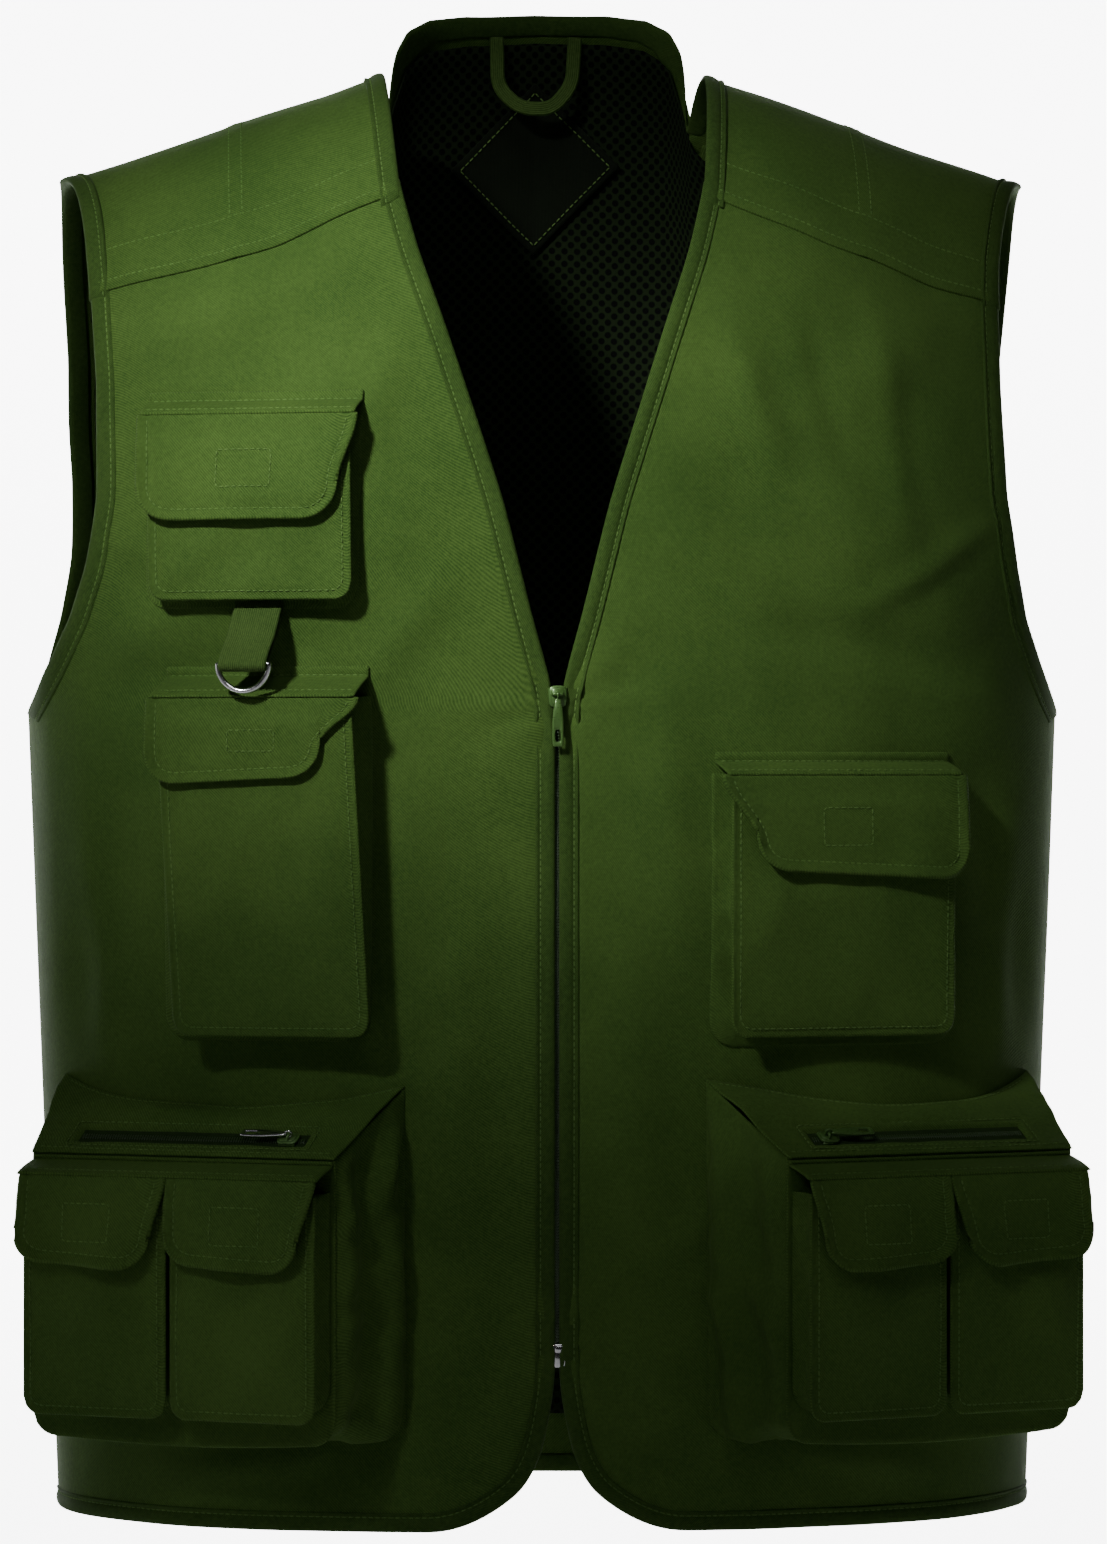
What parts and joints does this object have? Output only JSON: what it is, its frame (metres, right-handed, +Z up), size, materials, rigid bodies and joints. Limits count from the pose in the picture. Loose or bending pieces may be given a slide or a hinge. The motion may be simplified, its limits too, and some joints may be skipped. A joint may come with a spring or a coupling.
{
  "type": "fishing vest",
  "caption": "Sleeveless V-neck fishing vest with a full front zip, flap pockets, cargo pockets with zipped tops, a D-ring and a mesh-lined back.",
  "frame": {"origin": "inside the hanging loop at the back of the neck, on the middle plane, where a hook would hold it", "axes": "+Z up to the neck, -Y out of the front, +X towards the wearer's left"},
  "size_m": [0.5142, 0.3086, 0.7501],
  "materials": {
    "twill": "forest green polycotton twill with a soft sheen",
    "binding": "folded twill tape, edge stitched",
    "mesh": "open dark green knitted mesh",
    "patch": "plain dark cloth patch",
    "webbing": "ribbed green webbing",
    "zip_tape": "woven tape with nylon coil",
    "touch_fastener": "hook and loop pile",
    "green_metal": "green enamel",
    "bright_metal": "polished nickel plate"
  },
  "bodies": {
    "back": {"back_panel": "twill", "mesh_lining": "mesh", "yoke_right": "twill", "yoke_left": "twill", "neck_binding": "binding", "hanging_loop": "webbing", "lining_patch": "patch", "back_armhole_binding_right": "binding", "back_armhole_binding_left": "binding", "back_hem_binding": "binding"},
    "front_right": {"front_panel_right": "twill", "front_edge_binding_right": "binding", "armhole_binding_right": "binding", "hem_binding_right": "binding", "main_zip_tape_right": "zip_tape", "main_zip_coil_right": "zip_tape", "zip_pin": "bright_metal", "chest_pocket_right": "twill", "chest_band_right": "twill", "ring_tab": "webbing", "tall_pocket": "twill", "tall_band": "twill", "cargo_pocket_right": "twill", "cargo_top_right": "twill", "cargo_zip_right": "zip_tape", "small_pocket_right_inner": "twill", "small_pocket_right_outer": "twill", "hook_loop_pads_right": "touch_fastener"},
    "front_left": {"front_panel_left": "twill", "front_edge_binding_left": "binding", "armhole_binding_left": "binding", "hem_binding_left": "binding", "main_zip_tape_left": "zip_tape", "main_zip_coil_left": "zip_tape", "zip_box": "bright_metal", "chest_pocket_left": "twill", "chest_band_left": "twill", "cargo_pocket_left": "twill", "cargo_top_left": "twill", "cargo_zip_left": "zip_tape", "small_pocket_left_inner": "twill", "small_pocket_left_outer": "twill", "hook_loop_pads_left": "touch_fastener"},
    "main_slider": {"main_slider": "green_metal"},
    "main_pull": {"main_pull": "green_metal"},
    "chest_flap_right": {"chest_flap_right": "twill"},
    "tall_flap": {"tall_flap": "twill"},
    "chest_flap_left": {"chest_flap_left": "twill"},
    "d_ring": {"d_ring": "bright_metal"},
    "small_flap_right_inner": {"small_flap_right_inner": "twill"},
    "small_flap_right_outer": {"small_flap_right_outer": "twill"},
    "cargo_slider_right": {"cargo_slider_right": "green_metal"},
    "cargo_pull_right": {"cargo_pull_right": "bright_metal"},
    "small_flap_left_inner": {"small_flap_left_inner": "twill"},
    "small_flap_left_outer": {"small_flap_left_outer": "twill"},
    "cargo_slider_left": {"cargo_slider_left": "green_metal"},
    "cargo_pull_left": {"cargo_pull_left": "bright_metal"}
  },
  "joints": [
    {"name": "front_left_open", "type": "hinge", "parent": "back", "child": "front_left", "pos_m": [0.24, -0.0667, -0.722], "axis": [0.0383, 0, 0.9993], "range_deg": [0, 20]},
    {"name": "front_right_open", "type": "hinge", "parent": "back", "child": "front_right", "pos_m": [-0.24, -0.0667, -0.722], "axis": [0.0383, 0, -0.9993], "range_deg": [0, 20]},
    {"name": "main_zip_run", "type": "slide", "parent": "front_left", "child": "main_slider", "axis": [0, 0, -1], "range_m": [0, 0.3]},
    {"name": "main_pull_swing", "type": "hinge", "parent": "main_slider", "child": "main_pull", "pos_m": [0, -0.2114, -0.323], "axis": [-1, 0, 0], "range_deg": [0, 150]},
    {"name": "chest_flap_right_lift", "type": "hinge", "parent": "front_right", "child": "chest_flap_right", "pos_m": [-0.14781, -0.1956, -0.18967], "axis": [-0.9575, 0.2885, 0], "range_deg": [0, 120]},
    {"name": "tall_flap_lift", "type": "hinge", "parent": "front_right", "child": "tall_flap", "pos_m": [-0.14566, -0.21397, -0.32517], "axis": [-0.9577, 0.2876, 0], "range_deg": [0, 85]},
    {"name": "chest_flap_left_lift", "type": "hinge", "parent": "front_left", "child": "chest_flap_left", "pos_m": [0.13855, -0.20379, -0.3621], "axis": [-0.9602, -0.2794, 0], "range_deg": [0, 120]},
    {"name": "d_ring_swing", "type": "hinge", "parent": "front_right", "child": "d_ring", "pos_m": [-0.14956, -0.21999, -0.30921], "axis": [-0.9577, 0.2876, 0], "range_deg": [0, 130]},
    {"name": "small_flap_right_inner_lift", "type": "hinge", "parent": "front_right", "child": "small_flap_right_inner", "pos_m": [-0.151, -0.24399, -0.552], "axis": [-0.908, 0.4191, 0], "range_deg": [0, 120]},
    {"name": "small_flap_right_outer_lift", "type": "hinge", "parent": "front_right", "child": "small_flap_right_outer", "pos_m": [-0.22092, -0.21173, -0.552], "axis": [-0.908, 0.4191, 0], "range_deg": [0, 120]},
    {"name": "cargo_zip_right_run", "type": "slide", "parent": "front_right", "child": "cargo_slider_right", "axis": [-0.908, 0.4191, 0], "range_m": [0, 0.1]},
    {"name": "cargo_pull_right_swing", "type": "hinge", "parent": "cargo_slider_right", "child": "cargo_pull_right", "pos_m": [-0.1278, -0.22354, -0.53109], "axis": [0.3554, 0.77, 0.5299], "range_deg": [0, 150]},
    {"name": "small_flap_left_inner_lift", "type": "hinge", "parent": "front_left", "child": "small_flap_left_inner", "pos_m": [0.151, -0.24399, -0.552], "axis": [-0.908, -0.4191, 0], "range_deg": [0, 120]},
    {"name": "small_flap_left_outer_lift", "type": "hinge", "parent": "front_left", "child": "small_flap_left_outer", "pos_m": [0.22092, -0.21173, -0.552], "axis": [-0.908, -0.4191, 0], "range_deg": [0, 120]},
    {"name": "cargo_zip_left_run", "type": "slide", "parent": "front_left", "child": "cargo_slider_left", "axis": [0.908, 0.4191, 0], "range_m": [0, 0.1]},
    {"name": "cargo_pull_left_swing", "type": "hinge", "parent": "cargo_slider_left", "child": "cargo_pull_left", "pos_m": [0.1278, -0.22354, -0.53109], "axis": [0.3554, -0.77, -0.5299], "range_deg": [0, 150]}
  ],
  "couplings": [
    {"joint": "front_right_open", "follows": "front_left_open", "ratio": 1},
    {"joint": "main_zip_run", "follows": "front_left_open", "m_per_rad": 0.859}
  ]
}
